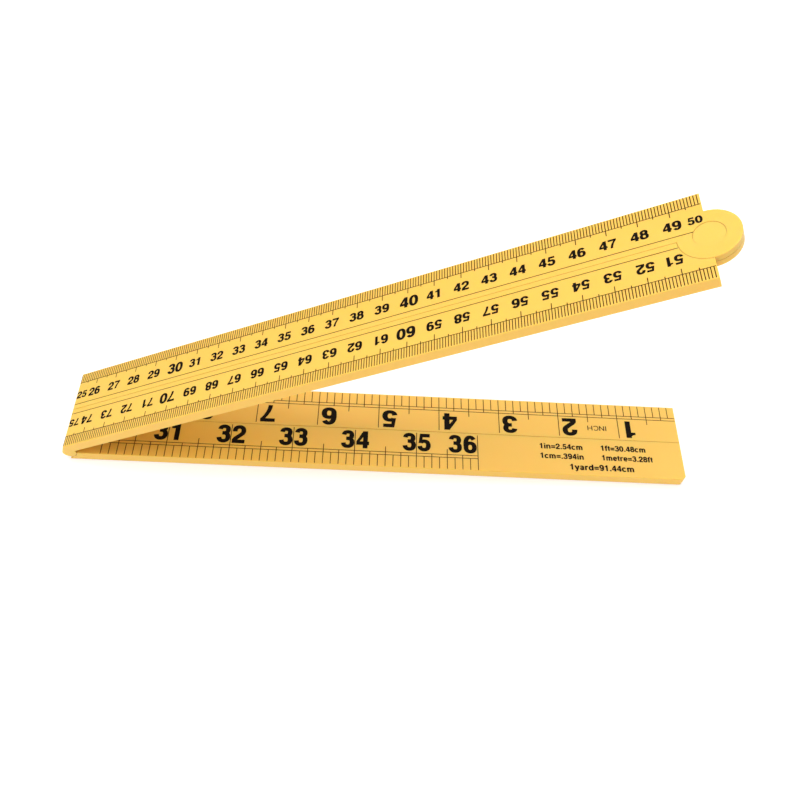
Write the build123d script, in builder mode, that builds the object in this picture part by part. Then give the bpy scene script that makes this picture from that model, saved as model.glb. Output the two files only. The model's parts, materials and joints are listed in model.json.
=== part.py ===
from build123d import *
import math
import os

os.makedirs("parts", exist_ok=True)

# A one-metre folding rule of four plastic legs, each carrying a quarter of the scale.
# first leg 0-25 cm, second leg 25-50 cm, third leg 50-75 cm, fourth leg 75-100 cm.
# Two flat hinges join the first leg to the second and the third to the fourth. A round
# joint of two half-thickness discs joins the second leg to the third at 50 cm.
# +X runs along the lower legs to their free ends, +Y across from the near pair to the
# far pair, +Z up. The origin is under the middle of the standing rule.

# ---- driving dimensions, millimetres and degrees ----
leg_length = 250.0        # hinge axis to the end of the scale on each leg
leg_width = 17.65
leg_thickness = 4.5
pair_gap = 0.1            # between the far pair of legs and the near pair
face_gap = 0.2            # between two inch faces folded flat together
end_gap = 0.1             # each leg stops this short of the plane where two ends meet
fold_angle = 27.7         # how far the two flat hinges stand open
edge_round = 0.3          # moulded edges along the scales
inner_edge_round = 0.1    # moulded edges along the parting between the pairs
free_corner_cut = 1.4     # bevelled corner at the 100 cm end

barrel_radius = 2.7       # hinge knuckles, round the hinge axis
knuckle_count = 5         # three on the upper leg, two on the lower leg
knuckle_clearance = 0.15  # round a knuckle in its pocket
knuckle_side_gap = 0.075  # each side of a knuckle
toe_gap = 0.15            # along the surface, between a lower leg's toe and the straightened upper leg
hinge_pin_radius = 0.8
pin_running_clearance = 0.04
pin_inset = 0.3           # pin end below the leg's inner edge
pin_blind_depth = 2.0     # pin length inside the outermost knuckle
bore_end_gap = 0.2

disc_radius = 9.6
disc_clearance = 0.12     # radial, between a disc and the other leg's recess
disc_gap = 0.12           # between the two discs
stud_head_radius = 4.85
stud_head_recess_radius = 4.92
stud_head_thickness = 0.9
stud_head_inset = 0.12    # head below the centimetre face
stud_radius = 3.0
stud_running_clearance = 0.05
spigot_radius = 1.8
cap_radius = 4.0
cap_recess_radius = 4.2
cap_thickness = 0.8
cap_inset = 0.1           # cap below the inch face
washer_radius = 3.9
washer_thickness = 0.25
washer_gap = 0.05

# ---- worked-out places ----
body_front = face_gap / 2                      # inch face, measured from the hinge axis
body_back = body_front + leg_thickness         # centimetre face, the same way
nose_reach = barrel_radius * math.sqrt(2.0)    # where the 45 degree nose meets the end plane
pocket_radius = barrel_radius + knuckle_clearance
pocket_reach = pocket_radius * math.sqrt(2.0)
toe_length = body_back - nose_reach - toe_gap  # toe tip, past the hinge axis on the centimetre face
axis_x = (barrel_radius + end_gap - leg_length) / 2   # centres the standing rule on the origin
axis_z = body_back
knuckle_pitch = leg_width / knuckle_count
upper_knuckles = [0, 2, 4]
lower_knuckles = [1, 3]

fold = math.radians(fold_angle)
along_upper = (math.cos(fold), 0, math.sin(fold))
out_of_upper = (-math.sin(fold), 0, math.cos(fold))

disc_middle = body_front + leg_thickness / 2
upper_disc_bottom = disc_middle + disc_gap / 2
lower_disc_top = disc_middle - disc_gap / 2
head_top = body_back - stud_head_inset
head_bottom = head_top - stud_head_thickness
cap_bottom = body_front + cap_inset
cap_top = cap_bottom + cap_thickness
washer_top = cap_top + washer_thickness
cap_recess_top = washer_top + washer_gap


def side_plane(is_upper, y):
    """Plane across a leg at y: local x along the leg, local y from inch face to centimetre face."""
    if is_upper:
        return Plane(origin=(axis_x, y, axis_z), x_dir=along_upper, z_dir=(0, -1, 0))
    return Plane(origin=(axis_x, y, axis_z), x_dir=(1, 0, 0), z_dir=(0, 1, 0))


def face_plane(height):
    """Plane parallel to the upper legs' faces, height above the hinge axis, centred on the round joint."""
    hinge = Vector(axis_x, 0, axis_z)
    pivot = hinge + Vector(*along_upper) * leg_length + Vector(*out_of_upper) * height
    return Plane(origin=pivot, x_dir=along_upper, z_dir=out_of_upper)


def across(is_upper, y_range, profile, mode=Mode.ADD):
    """Extrude a side section over a range of y into the open part."""
    start = max(y_range) if is_upper else min(y_range)
    with BuildSketch(side_plane(is_upper, start)) as section:
        profile()
    extrude(section.sketch, amount=max(y_range) - min(y_range), mode=mode)


def round_slab(radius, low, high, mode=Mode.ADD):
    """A disc or round hole on the round joint's axis, between two heights."""
    with BuildSketch(face_plane(low)) as circle:
        Circle(radius)
    extrude(circle.sketch, amount=high - low, mode=mode)


def leg_span(side):
    """Inner and outer y of the far pair (side 1) or the near pair (side -1)."""
    inner = side * pair_gap / 2
    return inner, inner + side * leg_width


def knuckle_span(side, index, margin):
    """y range of one knuckle, counted from the inner edge; margin shrinks it at the shared sides."""
    inner, outer = leg_span(side)
    low = inner + side * knuckle_pitch * index
    high = low + side * knuckle_pitch
    if index > 0:
        low += side * margin
    if index < knuckle_count - 1:
        high -= side * margin
    return low, high


def chamfered_profile():
    """Leg section whose hinge end slopes at 45 degrees to the centimetre face."""
    Polygon(
        (end_gap, body_front),
        (leg_length - end_gap, body_front),
        (leg_length - end_gap, body_back),
        (body_back - nose_reach, body_back),
        (end_gap, nose_reach + end_gap),
        align=None,
    )


def toed_profile():
    """Leg section whose square hinge end has a 45 degree toe along the centimetre face."""
    Polygon(
        (end_gap, body_front),
        (leg_length - end_gap, body_front),
        (leg_length - end_gap, body_back),
        (-toe_length, body_back),
        (end_gap, body_back - toe_length - end_gap),
        align=None,
    )


def nosed_knuckle():
    """Barrel with a flat 45 degree nose running up to the centimetre face."""
    tangent = barrel_radius / math.sqrt(2.0)
    Circle(barrel_radius)
    Polygon(
        (0, 0),
        (-tangent, tangent),
        (end_gap, nose_reach + end_gap),
        (barrel_radius, nose_reach + end_gap),
        (barrel_radius, body_front),
        (0, body_front),
        align=None,
    )


def round_knuckle():
    Circle(barrel_radius)


def round_pocket():
    Circle(pocket_radius)


def nosed_pocket():
    """Room for a nosed knuckle when the hinge lies straight."""
    tangent = pocket_radius / math.sqrt(2.0)
    Circle(pocket_radius)
    Polygon((0, 0), (tangent, tangent), (0, pocket_reach), align=None)


def pin_bore(is_upper, side, radius, mode=Mode.SUBTRACT):
    """Bore along the hinge axis from the leg's inner edge, blind in the outermost knuckle."""
    inner, outer = leg_span(side)
    blind_end = outer - side * (knuckle_pitch - pin_blind_depth - bore_end_gap)
    across(is_upper, (inner, blind_end), lambda: Circle(radius), mode)


def round_long_edges(part):
    """Rounds a leg's four long edges: the outer two along the scales, then the inner two."""
    for is_outer, radius in ((True, edge_round), (False, inner_edge_round)):
        long_edges = part.edges().filter_by(lambda edge: edge.length > leg_length / 2)
        chosen = long_edges.filter_by(lambda edge: (abs(edge.center().Y) > leg_width / 2) == is_outer)
        fillet(chosen, radius=radius)


def upper_hinge_end(side):
    """Pockets for the lower leg's knuckles, this leg's own knuckles, and the pin bore."""
    for index in lower_knuckles:
        across(True, knuckle_span(side, index, -knuckle_side_gap), round_pocket, Mode.SUBTRACT)
    for index in upper_knuckles:
        across(True, knuckle_span(side, index, knuckle_side_gap), nosed_knuckle)
    pin_bore(True, side, hinge_pin_radius + pin_running_clearance)


def lower_hinge_end(side):
    """Pockets for the upper leg's knuckles, this leg's own knuckles, and the pin bore."""
    for index in upper_knuckles:
        across(False, knuckle_span(side, index, -knuckle_side_gap), nosed_pocket, Mode.SUBTRACT)
    for index in lower_knuckles:
        across(False, knuckle_span(side, index, knuckle_side_gap), round_knuckle)
    pin_bore(False, side, hinge_pin_radius)


# ---- first leg: 0-25 cm, flat on the surface in the far pair ----
with BuildPart() as first_leg:
    across(False, leg_span(1), toed_profile)
    round_long_edges(first_leg)
    lower_hinge_end(1)
first_leg.part.label = "first_leg"

# ---- second leg: 25-50 cm, raised in the far pair, carries the upper disc and the stud ----
with BuildPart() as second_leg:
    across(True, leg_span(1), chamfered_profile)
    round_long_edges(second_leg)
    upper_hinge_end(1)
    round_slab(disc_radius + disc_clearance, body_front - face_gap, upper_disc_bottom, Mode.SUBTRACT)
    round_slab(disc_radius, upper_disc_bottom, body_back)
    round_slab(stud_head_recess_radius, head_bottom, body_back, Mode.SUBTRACT)
    round_slab(stud_radius, upper_disc_bottom, head_bottom, Mode.SUBTRACT)
second_leg.part.label = "second_leg"

# ---- third leg: 50-75 cm, raised in the near pair, carries the lower disc ----
with BuildPart() as third_leg:
    across(True, leg_span(-1), chamfered_profile)
    round_long_edges(third_leg)
    upper_hinge_end(-1)
    round_slab(disc_radius + disc_clearance, lower_disc_top, body_back + face_gap, Mode.SUBTRACT)
    round_slab(disc_radius, body_front, lower_disc_top)
    round_slab(cap_recess_radius, body_front, cap_recess_top, Mode.SUBTRACT)
    round_slab(stud_radius + stud_running_clearance, cap_recess_top, lower_disc_top, Mode.SUBTRACT)
third_leg.part.label = "third_leg"

# ---- fourth leg: 75-100 cm, flat on the surface in the near pair, one corner bevelled ----
with BuildPart() as fourth_leg:
    across(False, leg_span(-1), toed_profile)
    free_corner = fourth_leg.edges().filter_by(Axis.Z).group_by(Axis.X)[-1].sort_by(Axis.Y)[0]
    chamfer(free_corner, length=free_corner_cut)
    round_long_edges(fourth_leg)
    lower_hinge_end(-1)
fourth_leg.part.label = "fourth_leg"


def hinge_pin(side):
    """Steel pin along a flat hinge's axis, tight in the lower leg's knuckles."""
    inner, outer = leg_span(side)
    pin_range = (inner + side * pin_inset, outer - side * (knuckle_pitch - pin_blind_depth))
    across(False, pin_range, lambda: Circle(hinge_pin_radius))


with BuildPart() as first_hinge_pin:
    hinge_pin(1)
first_hinge_pin.part.label = "first_hinge_pin"

with BuildPart() as last_hinge_pin:
    hinge_pin(-1)
last_hinge_pin.part.label = "last_hinge_pin"

# ---- round joint: stud with a flush head, washer and cap on its lower end ----
with BuildPart() as centre_stud:
    round_slab(stud_head_radius, head_bottom, head_top)
    round_slab(stud_radius, cap_top, head_bottom)
    round_slab(spigot_radius, cap_bottom, cap_top)
centre_stud.part.label = "centre_stud"

with BuildPart() as centre_washer:
    round_slab(washer_radius, cap_top, washer_top)
    round_slab(stud_radius + stud_running_clearance, cap_top, washer_top, Mode.SUBTRACT)
centre_washer.part.label = "centre_washer"

with BuildPart() as centre_cap:
    round_slab(cap_radius, cap_bottom, cap_top)
    round_slab(spigot_radius, cap_bottom, cap_top, Mode.SUBTRACT)
centre_cap.part.label = "centre_cap"

export_step(first_leg.part, "parts/first_leg.step")
export_step(second_leg.part, "parts/second_leg.step")
export_step(third_leg.part, "parts/third_leg.step")
export_step(fourth_leg.part, "parts/fourth_leg.step")
export_step(first_hinge_pin.part, "parts/first_hinge_pin.step")
export_step(last_hinge_pin.part, "parts/last_hinge_pin.step")
export_step(centre_stud.part, "parts/centre_stud.step")
export_step(centre_washer.part, "parts/centre_washer.step")
export_step(centre_cap.part, "parts/centre_cap.step")
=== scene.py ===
import json
import math

import bpy
from mathutils import Matrix, Vector, geometry


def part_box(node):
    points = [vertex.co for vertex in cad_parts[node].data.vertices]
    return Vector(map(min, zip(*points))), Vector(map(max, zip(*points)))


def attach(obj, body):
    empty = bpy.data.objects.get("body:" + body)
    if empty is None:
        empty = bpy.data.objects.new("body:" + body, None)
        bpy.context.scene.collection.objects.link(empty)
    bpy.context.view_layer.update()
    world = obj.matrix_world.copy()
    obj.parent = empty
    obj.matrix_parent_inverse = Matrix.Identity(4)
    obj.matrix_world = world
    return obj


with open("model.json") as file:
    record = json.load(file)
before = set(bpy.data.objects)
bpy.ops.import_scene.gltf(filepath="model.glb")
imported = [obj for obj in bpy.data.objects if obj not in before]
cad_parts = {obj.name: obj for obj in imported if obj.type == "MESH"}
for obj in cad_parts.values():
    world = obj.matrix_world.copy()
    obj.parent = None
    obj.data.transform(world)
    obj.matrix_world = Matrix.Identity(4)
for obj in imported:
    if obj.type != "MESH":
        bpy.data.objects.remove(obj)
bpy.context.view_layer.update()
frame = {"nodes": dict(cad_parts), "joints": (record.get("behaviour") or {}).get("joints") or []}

MM = 0.001
INCH = 25.4
ACROSS = Vector((0, 1, 0))

# ---- the rule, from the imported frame; sizes along and across the legs are in millimetres ----
LEG_REACH = 250.0                                      # hinge axis to the far end of a leg's scale
FIRST_HINGE, MIDDLE, LAST_HINGE, SCALE_END = 250, 500, 750, 1000     # places along the whole rule
INCH_FACE_HEIGHT = 0.1                                 # inch face, out from the hinge axis
CM_FACE_HEIGHT = 4.6                                   # centimetre face, the same way
DISC_LIMIT = 9.85                                      # print stays outside the other leg's disc
STUD_LIMIT = 4.95                                      # and outside the stud's head

joints = {j["name"]: j for j in frame["joints"]}
hinge = Vector(joints["first_fold"]["pos_m"])
upper_out = Vector(joints["centre_turn"]["axis"]).normalized()
upper_along = Vector((upper_out.z, 0, -upper_out.x))
lower_out = Vector((0, 0, -1))
lower_along = Vector((1, 0, 0))
OUTER_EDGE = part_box("first_leg")[1].y / MM
FOLD = math.atan2(upper_along.z, upper_along.x)      # slope of the upper legs at rest, radians


# ---- glyphs: bold grotesque figures and a few letters, one unit tall, drawn as filled outlines ----
BOLD_PEN = (0.262, 0.205)     # width of upright and of level strokes
LIGHT_PEN = (0.15, 0.13)
ROUND_POWER = 2.35            # above 2 makes rounds a little square
X_HEIGHT = 0.74


def oval(cx, cy, rx, ry, start=90, stop=450, step=15):
    """Points along a slightly square oval, from one angle to another in degrees."""
    count = max(2, round(abs(stop - start) / step))
    points = []
    for k in range(count + 1):
        a = math.radians(start + (stop - start) * k / count)
        c, s = math.cos(a), math.sin(a)
        points.append((cx + rx * math.copysign(abs(c) ** (2 / ROUND_POWER), c),
                       cy + ry * math.copysign(abs(s) ** (2 / ROUND_POWER), s)))
    return points


def stroke(points, pen):
    """Quads along a centre line, as wide as the pen is across it."""
    closed = math.dist(points[0], points[-1]) < 1e-6
    sides = []
    for k, (x, y) in enumerate(points):
        if closed:
            before, after = points[k - 1 if k else -2], points[k + 1 if k + 1 < len(points) else 1]
        else:
            before, after = points[max(k - 1, 0)], points[min(k + 1, len(points) - 1)]
        dx, dy = after[0] - before[0], after[1] - before[1]
        size = math.hypot(dx, dy)
        nx, ny = -dy / size * pen[0] / 2, dx / size * pen[1] / 2
        sides.append(((x + nx, y + ny), (x - nx, y - ny)))
    return [[a[0], a[1], b[1], b[0]] for a, b in zip(sides, sides[1:])]


def drawn(width, lines, solids=()):
    """A glyph: its advance width, and functions of the pen that give polygons."""
    return width, lambda pen: [q for line in lines for q in stroke(line, pen)] + list(solids)


FIGURE = 0.783                # advance width of every figure
SIX = [oval(0.395, 0.325, 0.235, 0.2475), oval(0.395, 0.5, 0.245, 0.4225, 38, 206)]
GLYPHS = {
    "0": drawn(FIGURE, [oval(0.39, 0.5, 0.245, 0.4225)]),
    "1": drawn(FIGURE, [[(0.43, 0), (0.43, 1)]], [
        [(0.095, 0.675), (0.34, 0.675), (0.34, 0.82), (0.095, 0.81)],
        [(0.095, 0.80), (0.34, 0.80), (0.40, 1.0), (0.35, 1.0), (0.31, 0.915), (0.25, 0.855), (0.17, 0.82)]]),
    "2": drawn(FIGURE, [
        oval(0.385, 0.6925, 0.235, 0.23, 188, -30)
        + [(0.50, 0.475), (0.36, 0.36), (0.225, 0.25), (0.15, 0.13)],
        [(0.045, 0.0775), (0.735, 0.0775)]],
        [[(0.045, 0.0), (0.26, 0.0), (0.26, 0.17), (0.05, 0.12)]]),
    "3": drawn(FIGURE, [
        oval(0.38, 0.73, 0.215, 0.1925, 176, -90) + [(0.29, 0.5375)],
        [(0.29, 0.5375)] + oval(0.385, 0.3075, 0.24, 0.23, 90, -176)]),
    "4": drawn(FIGURE, [[(0.535, 0), (0.535, 1)], [(0.04, 0.295), (0.745, 0.295)]], [
        [(0.04, 0.225), (0.20, 0.30), (0.20, 0.36), (0.455, 0.72), (0.455, 1.0), (0.40, 1.0), (0.04, 0.40)]]),
    "5": drawn(FIGURE, [
        [(0.16, 0.905), (0.695, 0.905)],
        oval(0.38, 0.325, 0.24, 0.2475, 140, -172)], [
        [(0.075, 0.45), (0.265, 0.45), (0.315, 0.90), (0.15, 0.9825)]]),
    "6": drawn(FIGURE, SIX),
    "7": drawn(FIGURE, [[(0.04, 0.9025), (0.745, 0.9025)]], [
        [(0.745, 0.98), (0.745, 0.83), (0.60, 0.63), (0.50, 0.42), (0.435, 0.20), (0.415, 0.0),
         (0.20, 0.0), (0.22, 0.18), (0.285, 0.40), (0.385, 0.61), (0.53, 0.83), (0.53, 0.9)]]),
    "8": drawn(FIGURE, [oval(0.39, 0.735, 0.205, 0.1875), oval(0.39, 0.3075, 0.245, 0.23)]),
    "9": drawn(FIGURE, [[(0.785 - x, 1 - y) for x, y in line] for line in SIX]),
    ".": drawn(0.39, [[(0.195, 0), (0.195, 0.19)]]),
    "=": drawn(0.82, [[(0.06, 0.26), (0.76, 0.26)], [(0.06, 0.55), (0.76, 0.55)]]),
    "a": drawn(FIGURE, [oval(0.37, 0.53, 0.21, 0.135, 165, 0) + [(0.58, 0.40), (0.58, 0)],
                        oval(0.35, 0.215, 0.21, 0.14)]),
    "c": drawn(FIGURE, [oval(0.39, 0.37, 0.245, 0.295, 38, 322)]),
    "d": drawn(0.86, [oval(0.385, 0.37, 0.24, 0.295), [(0.665, 0), (0.665, 1)]]),
    "e": drawn(FIGURE, [oval(0.39, 0.37, 0.245, 0.295, 0, 318), [(0.15, 0.37), (0.72, 0.37)]]),
    "f": drawn(0.50, [[(0.235, 0), (0.235, 0.72)] + oval(0.42, 0.78, 0.185, 0.145, 180, 70),
                      [(0.03, 0.665), (0.43, 0.665)]]),
    "i": drawn(0.39, [[(0.195, 0), (0.195, X_HEIGHT)], [(0.195, 0.86), (0.195, 1)]]),
    "m": drawn(1.25, [[(0.19, 0), (0.19, X_HEIGHT)],
                      oval(0.40, 0.42, 0.21, 0.245, 180, 0) + [(0.61, 0)],
                      oval(0.82, 0.42, 0.21, 0.245, 180, 0) + [(1.03, 0)]]),
    "n": drawn(0.86, [[(0.19, 0), (0.19, X_HEIGHT)], oval(0.43, 0.42, 0.24, 0.245, 180, 0) + [(0.67, 0)]]),
    "r": drawn(0.62, [[(0.19, 0), (0.19, X_HEIGHT)], oval(0.46, 0.40, 0.27, 0.265, 180, 68)]),
    "t": drawn(0.47, [[(0.235, 0.92), (0.235, 0.22)] + oval(0.385, 0.22, 0.15, 0.145, 180, 265),
                      [(0.03, 0.665), (0.43, 0.665)]]),
    "y": drawn(0.78, [[(0.11, X_HEIGHT), (0.42, 0.02)], [(0.67, X_HEIGHT), (0.36, -0.13), (0.15, -0.2)]]),
    "C": drawn(1.017, [oval(0.52, 0.5, 0.40, 0.45, 38, 322)]),
    "H": drawn(1.017, [[(0.16, 0), (0.16, 1)], [(0.86, 0), (0.86, 1)], [(0.16, 0.52), (0.86, 0.52)]]),
    "I": drawn(0.39, [[(0.195, 0), (0.195, 1)]]),
    "N": drawn(1.017, [[(0.16, 0), (0.16, 1)], [(0.86, 0), (0.86, 1)], [(0.16, 0.97), (0.86, 0.03)]]),
}


def text_width(text):
    return sum(GLYPHS[c][0] for c in text)


# ---- one printed face of a leg ----
class Face:
    """Places are q, along the whole rule from its zero end, and v, in from the leg's outer edge."""

    def __init__(self, leg, side, is_upper, is_cm, q_at_hinge, sign):
        self.leg, self.side, self.is_upper, self.is_cm = leg, side, is_upper, is_cm
        self.q_at_hinge, self.sign = q_at_hinge, sign
        self.along = upper_along if is_upper else lower_along
        self.out = upper_out if is_upper else lower_out
        self.height = CM_FACE_HEIGHT if is_cm else INCH_FACE_HEIGHT
        self.normal = self.out if is_cm else -self.out
        self.up = -1 if is_cm else 1      # which way v runs in the plane of the print
        self.polygons = []

    def reach(self, q):
        """Distance from the hinge axis to a mark."""
        return (q - self.q_at_hinge) * self.sign

    def span(self, low, high):
        """q range between two distances from the hinge axis."""
        return sorted(self.q_at_hinge + self.sign * s for s in (low, high))

    def inner_limit(self, q, radius):
        """How far in from the outer edge a mark may go before it meets a circle round the turning joint."""
        room = radius ** 2 - (LEG_REACH - self.reach(q)) ** 2
        return OUTER_EDGE - math.sqrt(room) if room > 0 else OUTER_EDGE

    def bar(self, q0, q1, v0, v1):
        self.polygons.append([(q0, self.up * v0), (q1, self.up * v0), (q1, self.up * v1), (q0, self.up * v1)])

    def text(self, words, q, baseline, height, width=None, pen=BOLD_PEN, stretch=1.0, tracking=0.0):
        """Words from q on, their feet at baseline; width, where given, is the whole line's width."""
        across = width / text_width(words) if width else height * stretch
        at = q
        for c in words:
            advance, outline = GLYPHS[c]
            for polygon in outline(pen):
                self.polygons.append([(at + x * across, self.up * baseline + y * height) for x, y in polygon])
            at += advance * across + tracking

    def place(self, x, y, lift):
        """A point of the print's plane in the object's frame, lift millimetres above the face."""
        v = y * self.up
        return (hinge + self.along * (self.reach(x) * MM)
                + ACROSS * (self.side * (OUTER_EDGE - v) * MM)
                + self.out * (self.height * MM) + self.normal * (lift * MM))


INK_TOP, INK_FOOT = 0.02, -0.01       # the print stands this far proud of the face and is keyed this far in
FILL_INSIDE, WELD = 1, 1e-5           # triangulate only inside outlines, joining corners this close


def turned_left(polygon):
    area = sum(a[0] * b[1] - b[0] * a[1] for a, b in zip(polygon, polygon[1:] + polygon[:1]))
    return polygon if area > 0 else polygon[::-1]


def holds(polygon, x, y):
    """True if the point lies inside the polygon."""
    inside = False
    for (ax, ay), (bx, by) in zip(polygon, polygon[1:] + polygon[:1]):
        if (ay > y) != (by > y) and x < ax + (bx - ax) * (y - ay) / (by - ay):
            inside = not inside
    return inside


def printed(face, name, material):
    """Joins a face's bars and glyphs into one closed thin mesh."""
    outlines = [turned_left(polygon) for polygon in face.polygons]
    corners, loops = [], []
    for outline in outlines:
        loops.append(list(range(len(corners), len(corners) + len(outline))))
        corners += [Vector(p) for p in outline]
    points, _, triangles, _, _, sources = geometry.delaunay_2d_cdt(
        corners, [], loops, FILL_INSIDE, WELD, True)
    tops = []
    for t, source in zip(triangles, sources):
        x, y = sum((points[k] for k in t), Vector((0, 0))) / len(t)
        if any(holds(outlines[k], x, y) for k in source):
            tops.append(t)
    used = sorted({k for t in tops for k in t})
    index = {k: n for n, k in enumerate(used)}
    tops = [[index[k] for k in t] for t in tops]
    edges = {(t[k - 1], t[k]) for t in tops for k in range(len(t))}
    count = len(used)
    verts = [face.place(*points[k], lift) for lift in (INK_TOP, INK_FOOT) for k in used]
    sides = [(b, a, a + count, b + count) for a, b in sorted(edges) if (b, a) not in edges]
    feet = [[k + count for k in reversed(t)] for t in tops]
    mesh = bpy.data.meshes.new(name)
    mesh.from_pydata(verts, [], tops + sides + feet)
    mesh.materials.append(material)
    mesh.validate()
    piece = bpy.data.objects.new(name, mesh)
    bpy.context.scene.collection.objects.link(piece)
    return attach(piece, face.leg)


# ---- what is printed; lengths in millimetres, and a name ending in _V is a distance in from the edge ----
LINE = 0.24               # width of the long fine lines
MARK = 0.28               # width of the centimetre faces' marks
INCH_MARK = 0.29          # width of the inch faces' marks
EDGE_START = 0.35         # scale marks start this far in from the leg's edge
UPPER_START, LOWER_START, INCH_START = 0.82, 0.3, 3.0    # where print starts, from the hinge axis
FAR_MARGIN, NUMBER_MARGIN = 0.35, 0.75                   # and ends, short of the leg's far end

BASE_V = 4.74             # line along the millimetre marks
HALF_V = 5.6              # five-millimetre marks end
TEN_V = 7.0               # centimetre marks end
BORDER_V = 15.4           # border line beside the parting
CM_MIDDLE_V = 10.85       # middle of the centimetre numbers
CM_TALL, TENS_TALL = 3.75, 4.6
HINGE_TALL, END_TALL = 3.3, 2.95          # the numbers at the hinge end and at the far end of a leg
HINGE_ENDS, FAR_ENDS = (FIRST_HINGE, LAST_HINGE), (MIDDLE, SCALE_END)
TENS_SHIFT = 0.45                         # the larger figures stand this far along from their mark
NUMBER_BY_DISC, DISC_SHIFT = 51, 1.5      # this number is moved along, clear of the round joint's disc

OUTER_LINE_V, INNER_LINE_V = 5.65, 6.99   # the double line along the eighth-inch marks
HALF_INCH_V, INCH_V = 9.5, 16.8           # half-inch and inch marks end
INCH_BASE_V, INCH_TALL = 8.2, 8.2         # feet and height of the inch numbers
ONE_FIGURE_STRETCH, ONE_FIGURE_GAP = 1.05, 1.2      # figures beside their inch line
TWO_FIGURE_STRETCH, TWO_FIGURE_GAP = 0.91, 0.3      # figures either side of their inch line
TWO_FIGURE_SHIFT, LAST_GAP = 0.15, 0.25             # the last number stops short of its inch line


def number_height(n):
    """Height of the figures at a centimetre mark."""
    if 10 * n in HINGE_ENDS:
        return HINGE_TALL
    if 10 * n in FAR_ENDS:
        return END_TALL
    return TENS_TALL if n % 10 == 0 else CM_TALL


def cm_scale(face, numbers):
    hinge_end = UPPER_START if face.is_upper else LOWER_START
    low, high = face.span(hinge_end, LEG_REACH - FAR_MARGIN)
    first, last = face.span(hinge_end, LEG_REACH - NUMBER_MARGIN)
    face.bar(low, high, BASE_V - LINE / 2, BASE_V + LINE / 2)
    for q in range(math.ceil(low), math.floor(high) + 1):
        end = TEN_V if q % 10 == 0 else HALF_V if q % 5 == 0 else BASE_V
        face.bar(q - MARK / 2, q + MARK / 2, EDGE_START, end)
    for n in numbers:
        tall = number_height(n)
        wide = text_width(str(n)) * tall
        start = min(max(10 * n - wide / 2, first), last - wide)
        if n == NUMBER_BY_DISC:
            start += DISC_SHIFT
        if tall == TENS_TALL:
            start += TENS_SHIFT
        face.text(str(n), start, CM_MIDDLE_V + tall / 2, tall)


def inch_scale(face, numbers, ends=None):
    """An inch scale over the whole leg, or between two marks."""
    low, high = face.span(INCH_START, LEG_REACH - FAR_MARGIN)
    if ends:
        low, high = ends[0] * INCH - INCH_MARK / 2, ends[1] * INCH + INCH_MARK / 2
    for v in (OUTER_LINE_V, INNER_LINE_V):
        face.bar(low, high, v - LINE / 2, v + LINE / 2)
    for eighth in range(math.ceil(low / INCH * 8), math.floor(high / INCH * 8) + 1):
        q = eighth * INCH / 8
        end = OUTER_LINE_V
        if eighth % 8 == 0:
            end = INCH_V
        elif eighth % 4 == 0:
            end = HALF_INCH_V
        elif eighth % 2 == 0:
            end = INNER_LINE_V
        face.bar(q - INCH_MARK / 2, q + INCH_MARK / 2, EDGE_START, min(end, face.inner_limit(q, DISC_LIMIT)))
    for n in numbers:
        if n < 10:
            wide = FIGURE * INCH_TALL * ONE_FIGURE_STRETCH
            start = n * INCH - ONE_FIGURE_GAP - wide
            face.text(str(n), start, INCH_BASE_V, INCH_TALL, stretch=ONE_FIGURE_STRETCH)
        else:
            wide = 2 * FIGURE * INCH_TALL * TWO_FIGURE_STRETCH + TWO_FIGURE_GAP
            is_last = ends and n == ends[1]
            start = n * INCH - (wide + LAST_GAP if is_last else wide / 2 - TWO_FIGURE_SHIFT)
            face.text(str(n), start, INCH_BASE_V, INCH_TALL,
                      stretch=TWO_FIGURE_STRETCH, tracking=TWO_FIGURE_GAP)


def border(face, end):
    """Fine line beside the parting between the pairs, up to a distance from the hinge axis."""
    q0, q1 = face.span(UPPER_START, end)
    face.bar(q0, q1, BORDER_V - LINE / 2, BORDER_V + LINE / 2)


def circle_reach(radius):
    """Where the border line meets a circle round the turning joint."""
    return LEG_REACH - math.sqrt(radius ** 2 - (OUTER_EDGE - BORDER_V) ** 2)


first_cm = Face("first_leg", 1, False, True, FIRST_HINGE, -1)
first_inch = Face("first_leg", 1, False, False, FIRST_HINGE, -1)
second_cm = Face("second_leg", 1, True, True, FIRST_HINGE, 1)
second_inch = Face("second_leg", 1, True, False, FIRST_HINGE, 1)
third_cm = Face("third_leg", -1, True, True, LAST_HINGE, -1)
third_inch = Face("third_leg", -1, True, False, LAST_HINGE, -1)
fourth_cm = Face("fourth_leg", -1, False, True, LAST_HINGE, 1)
fourth_inch = Face("fourth_leg", -1, False, False, LAST_HINGE, 1)

cm_scale(first_cm, range(1, 26))
cm_scale(second_cm, range(25, 51))
cm_scale(third_cm, range(51, 76))
cm_scale(fourth_cm, range(76, 101))
border(first_cm, LEG_REACH - FAR_MARGIN)
border(second_cm, circle_reach(STUD_LIMIT))
border(third_cm, circle_reach(DISC_LIMIT))
border(fourth_cm, LEG_REACH - FAR_MARGIN)
inch_scale(first_inch, range(1, 10))
inch_scale(second_inch, range(10, 20))
inch_scale(third_inch, range(20, 30))
inch_scale(fourth_inch, range(30, 37), ends=(30, 36))

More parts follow.
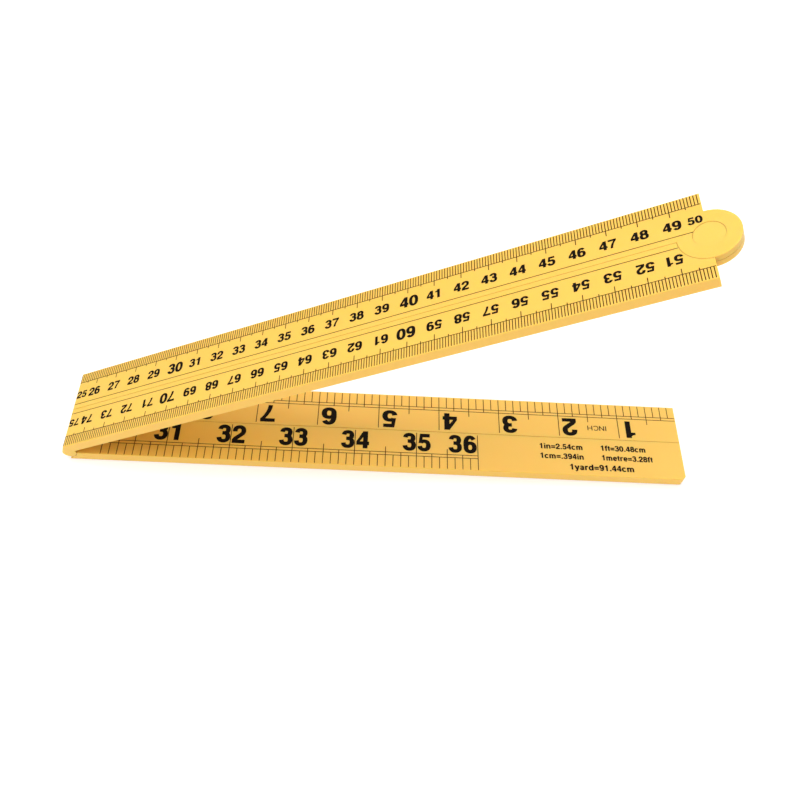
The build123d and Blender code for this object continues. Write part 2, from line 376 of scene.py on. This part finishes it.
WORD_START, WORD_V, WORD_TALL, WORD_WIDE = 30.3, 11.2, 2.3, 8.5       # the word past the first inch
first_inch.text("INCH", WORD_START, WORD_V, WORD_TALL, width=WORD_WIDE, pen=LIGHT_PEN)
CONVERSIONS = (       # words, start from the hinge axis, feet in from the edge, height, width
    ("1in=2.54cm", 190.1, 12.0, 2.55, 18.4),
    ("1ft=30.48cm", 215.8, 12.1, 2.55, 19.2),
    ("1cm=.394in", 190.1, 7.4, 2.55, 18.4),
    ("1metre=3.28ft", 215.8, 7.5, 2.55, 21.5),
    ("1yard=91.44cm", 202.0, 2.5, 2.7, 27.0),
)
for words, reach, foot, tall, wide in CONVERSIONS:
    fourth_inch.text(words, LAST_HINGE + reach, foot, tall, width=wide)


# ---- materials; noise scales are per metre, distances in metres ----
YELLOW_DARK, YELLOW_LIGHT = (0.855, 0.513, 0.085), (0.886, 0.543, 0.096)
STUD_DARK, STUD_LIGHT = (0.862, 0.520, 0.090), (0.892, 0.550, 0.100)
GLOW_DEPTH, GLOW_BY_COLOUR = 0.004, (1.0, 0.40, 0.08)     # how far light spreads inside the plastic
# painted shade in seams: how near another surface must stand, and the colour the plastic is darkened to there
SEAM_REACH, SEAM_SHADE_COLOUR = 0.0004, (0.85, 0.38, 0.12)
CLOUDS, RUBS, MOULD_GRAIN = 28, 1800, 5200
TURNING_MARKS, INK_PATCHES = 4000, 900
STEEL_DARK, STEEL_LIGHT = (0.5, 0.5, 0.49), (0.64, 0.63, 0.61)
INK_DARK, INK_LIGHT = (0.004, 0.003, 0.002), (0.014, 0.009, 0.005)


def material(name, roughness, specular=0.5):
    made = bpy.data.materials.new(name)
    made.use_nodes = True
    shader = made.node_tree.nodes["Principled BSDF"]
    shader.inputs["Roughness"].default_value = roughness
    shader.inputs["Specular IOR Level"].default_value = specular
    return made, made.node_tree, shader


def noise(tree, scale, detail, stretch=(1, 1, 1), tilt=0.0):
    """Noise in the piece's own space, at a scale per metre."""
    place = tree.nodes.new("ShaderNodeTexCoord")
    mapping = tree.nodes.new("ShaderNodeMapping")
    mapping.vector_type = "TEXTURE"
    mapping.inputs["Rotation"].default_value = (0, -tilt, 0)
    mapping.inputs["Scale"].default_value = stretch
    grain = tree.nodes.new("ShaderNodeTexNoise")
    grain.inputs["Scale"].default_value = scale
    grain.inputs["Detail"].default_value = detail
    tree.links.new(place.outputs["Object"], mapping.inputs["Vector"])
    tree.links.new(mapping.outputs["Vector"], grain.inputs["Vector"])
    return grain.outputs["Fac"]


def ramp(tree, value, low, high, low_colour, high_colour):
    made = tree.nodes.new("ShaderNodeValToRGB")
    made.color_ramp.elements[0].position, made.color_ramp.elements[1].position = low, high
    made.color_ramp.elements[0].color = (*low_colour, 1)
    made.color_ramp.elements[1].color = (*high_colour, 1)
    tree.links.new(value, made.inputs["Fac"])
    return made.outputs["Color"]


def grey_ramp(tree, value, low, high, from_value, to_value):
    made = tree.nodes.new("ShaderNodeMapRange")
    made.inputs["From Min"].default_value = low
    made.inputs["From Max"].default_value = high
    made.inputs["To Min"].default_value = from_value
    made.inputs["To Max"].default_value = to_value
    tree.links.new(value, made.inputs["Value"])
    return made.outputs["Result"]


def bump(tree, shader, value, strength, distance, under=None):
    made = tree.nodes.new("ShaderNodeBump")
    made.inputs["Strength"].default_value = strength
    made.inputs["Distance"].default_value = distance
    tree.links.new(value, made.inputs["Height"])
    if under:
        tree.links.new(under.outputs["Normal"], made.inputs["Normal"])
    tree.links.new(made.outputs["Normal"], shader.inputs["Normal"])
    return made


def grimy_seams(tree, colour):
    """The colour, darkened as painted shade where another surface stands within a seam's width."""
    shelter = tree.nodes.new("ShaderNodeAmbientOcclusion")
    shelter.samples = 6
    shelter.inputs["Distance"].default_value = SEAM_REACH
    # painted shade: the more sheltered a point, the nearer its colour comes to the seam shade colour
    painted_shade = ramp(tree, shelter.outputs["AO"], 0.25, 0.8, SEAM_SHADE_COLOUR, (1, 1, 1))
    mixed = tree.nodes.new("ShaderNodeMix")
    mixed.data_type = "RGBA"
    mixed.blend_type = "MULTIPLY"
    mixed.inputs["Factor"].default_value = 1.0
    tree.links.new(colour, mixed.inputs["A"])
    tree.links.new(painted_shade, mixed.inputs["B"])
    return mixed.outputs["Result"]


def moulded_plastic(name, dark, light, tilt):
    """Semi-gloss moulded plastic: faint flow clouds, painted shade in its seams, fine mould texture, hairline
    rubs along the leg.
    """
    made, tree, shader = material(name, 0.4, specular=0.3)
    shader.inputs["Subsurface Weight"].default_value = 0.35
    shader.inputs["Subsurface Radius"].default_value = GLOW_BY_COLOUR
    shader.inputs["Subsurface Scale"].default_value = GLOW_DEPTH
    clouds = noise(tree, CLOUDS, 3, (6, 1, 1), tilt)
    flow = ramp(tree, clouds, 0.35, 0.65, dark, light)
    # the flow colour, with painted shade in the seams
    tree.links.new(grimy_seams(tree, flow), shader.inputs["Base Color"])
    rubs = noise(tree, RUBS, 2, (60, 1, 1), tilt)
    tree.links.new(grey_ramp(tree, rubs, 0.3, 0.75, 0.33, 0.46), shader.inputs["Roughness"])
    waves = bump(tree, shader, clouds, 0.15, 0.0004)
    bump(tree, shader, noise(tree, MOULD_GRAIN, 2), 0.12, 0.00002, under=waves)
    return made


lower_plastic = moulded_plastic("lower_leg_plastic", YELLOW_DARK, YELLOW_LIGHT, 0.0)
upper_plastic = moulded_plastic("upper_leg_plastic", YELLOW_DARK, YELLOW_LIGHT, FOLD)
stud_plastic = moulded_plastic("stud_plastic", STUD_DARK, STUD_LIGHT, FOLD)


def steel():
    """Drawn steel with fine marks round it."""
    made, tree, shader = material("pin_steel", 0.3)
    shader.inputs["Metallic"].default_value = 1.0
    turning = noise(tree, TURNING_MARKS, 2, (1, 30, 1))
    tree.links.new(ramp(tree, turning, 0.3, 0.7, STEEL_DARK, STEEL_LIGHT), shader.inputs["Base Color"])
    tree.links.new(grey_ramp(tree, turning, 0.3, 0.7, 0.22, 0.4), shader.inputs["Roughness"])
    bump(tree, shader, turning, 0.2, 0.00001)
    return made


def ink():
    """Black printing ink, a little uneven, on the plastic."""
    made, tree, shader = material("scale_ink", 0.6, specular=0.04)
    patches = noise(tree, INK_PATCHES, 3)
    tree.links.new(ramp(tree, patches, 0.3, 0.75, INK_DARK, INK_LIGHT), shader.inputs["Base Color"])
    tree.links.new(grey_ramp(tree, patches, 0.3, 0.7, 0.52, 0.68), shader.inputs["Roughness"])
    bump(tree, shader, noise(tree, MOULD_GRAIN, 2), 0.1, 0.00001)
    return made


pin_metal = steel()
finishes = {
    "first_leg": lower_plastic, "fourth_leg": lower_plastic,
    "second_leg": upper_plastic, "third_leg": upper_plastic,
    "centre_stud": stud_plastic, "centre_cap": stud_plastic,
    "centre_washer": pin_metal, "first_hinge_pin": pin_metal, "last_hinge_pin": pin_metal,
}
for node, finish in finishes.items():
    materials = frame["nodes"][node].data.materials
    materials.clear()
    materials.append(finish)

scale_ink = ink()
for face, name in (
        (first_cm, "first_leg_centimetres"), (first_inch, "first_leg_inches"),
        (second_cm, "second_leg_centimetres"), (second_inch, "second_leg_inches"),
        (third_cm, "third_leg_centimetres"), (third_inch, "third_leg_inches"),
        (fourth_cm, "fourth_leg_centimetres"), (fourth_inch, "fourth_leg_inches")):
    printed(face, name, scale_ink)


# ---- floor, light and camera; metres and watts ----
FLOOR_SIZE, FLOOR_DROP = 60, 0.0002       # the floor lies just clear of the print under the lower legs
FLOOR_GREY = (0.70, 0.70, 0.70, 1)
FLOOR_GLOW = 0.42                         # the floor gives off some light, so shadows stay faint
WORLD_STRENGTH = 0.6
WHITE = (1, 1, 1, 1)
LIGHTS = (                                # name, place, width, power
    ("overhead_left", (-0.35, 0.0, 1.2), 0.8, 7.3),
    ("overhead_back", (0.35, 0.6, 1.2), 1.2, 8.2),
    ("front", (-0.3, -1.2, 0.45), 1.2, 2.0),
)
SENSOR_WIDTH, LENS, NEAREST = 36, 38.056, 0.01        # the first two in millimetres
CAMERA_PLACE = (-0.00376, -0.18605, 0.30382)
CAMERA_FORWARD = Vector((0.03301, 0.55755, -0.82949))
CAMERA_RIGHT = Vector((0.99839, 0.01996, 0.05315))

bpy.ops.mesh.primitive_plane_add(size=FLOOR_SIZE, location=(0, 0, -FLOOR_DROP))
floor = bpy.context.object
floor.name = "floor"
floor_material, _, floor_shader = material("floor_paper", 0.9, specular=0.1)
floor_shader.inputs["Base Color"].default_value = FLOOR_GREY
floor_shader.inputs["Emission Color"].default_value = WHITE
floor_shader.inputs["Emission Strength"].default_value = FLOOR_GLOW
floor.data.materials.append(floor_material)

world = bpy.data.worlds.new("studio")
world.use_nodes = True
world.node_tree.nodes["Background"].inputs["Color"].default_value = WHITE
world.node_tree.nodes["Background"].inputs["Strength"].default_value = WORLD_STRENGTH
bpy.context.scene.world = world

for name, place, size, power in LIGHTS:
    data = bpy.data.lights.new(name, "AREA")
    data.size = size
    data.energy = power
    lamp = bpy.data.objects.new(name, data)
    lamp.location = place
    lamp.rotation_euler = (-Vector(place)).to_track_quat("-Z", "Y").to_euler()
    bpy.context.scene.collection.objects.link(lamp)

camera_data = bpy.data.cameras.new("camera")
camera_data.sensor_width = SENSOR_WIDTH
camera_data.lens = LENS
camera_data.clip_start = NEAREST
camera = bpy.data.objects.new("camera", camera_data)
camera.location = CAMERA_PLACE
turned = Matrix((CAMERA_RIGHT, CAMERA_RIGHT.cross(CAMERA_FORWARD), -CAMERA_FORWARD)).transposed()
camera.rotation_euler = turned.to_euler()
bpy.context.scene.collection.objects.link(camera)
bpy.context.scene.camera = camera
bpy.context.scene.view_settings.view_transform = "Standard"
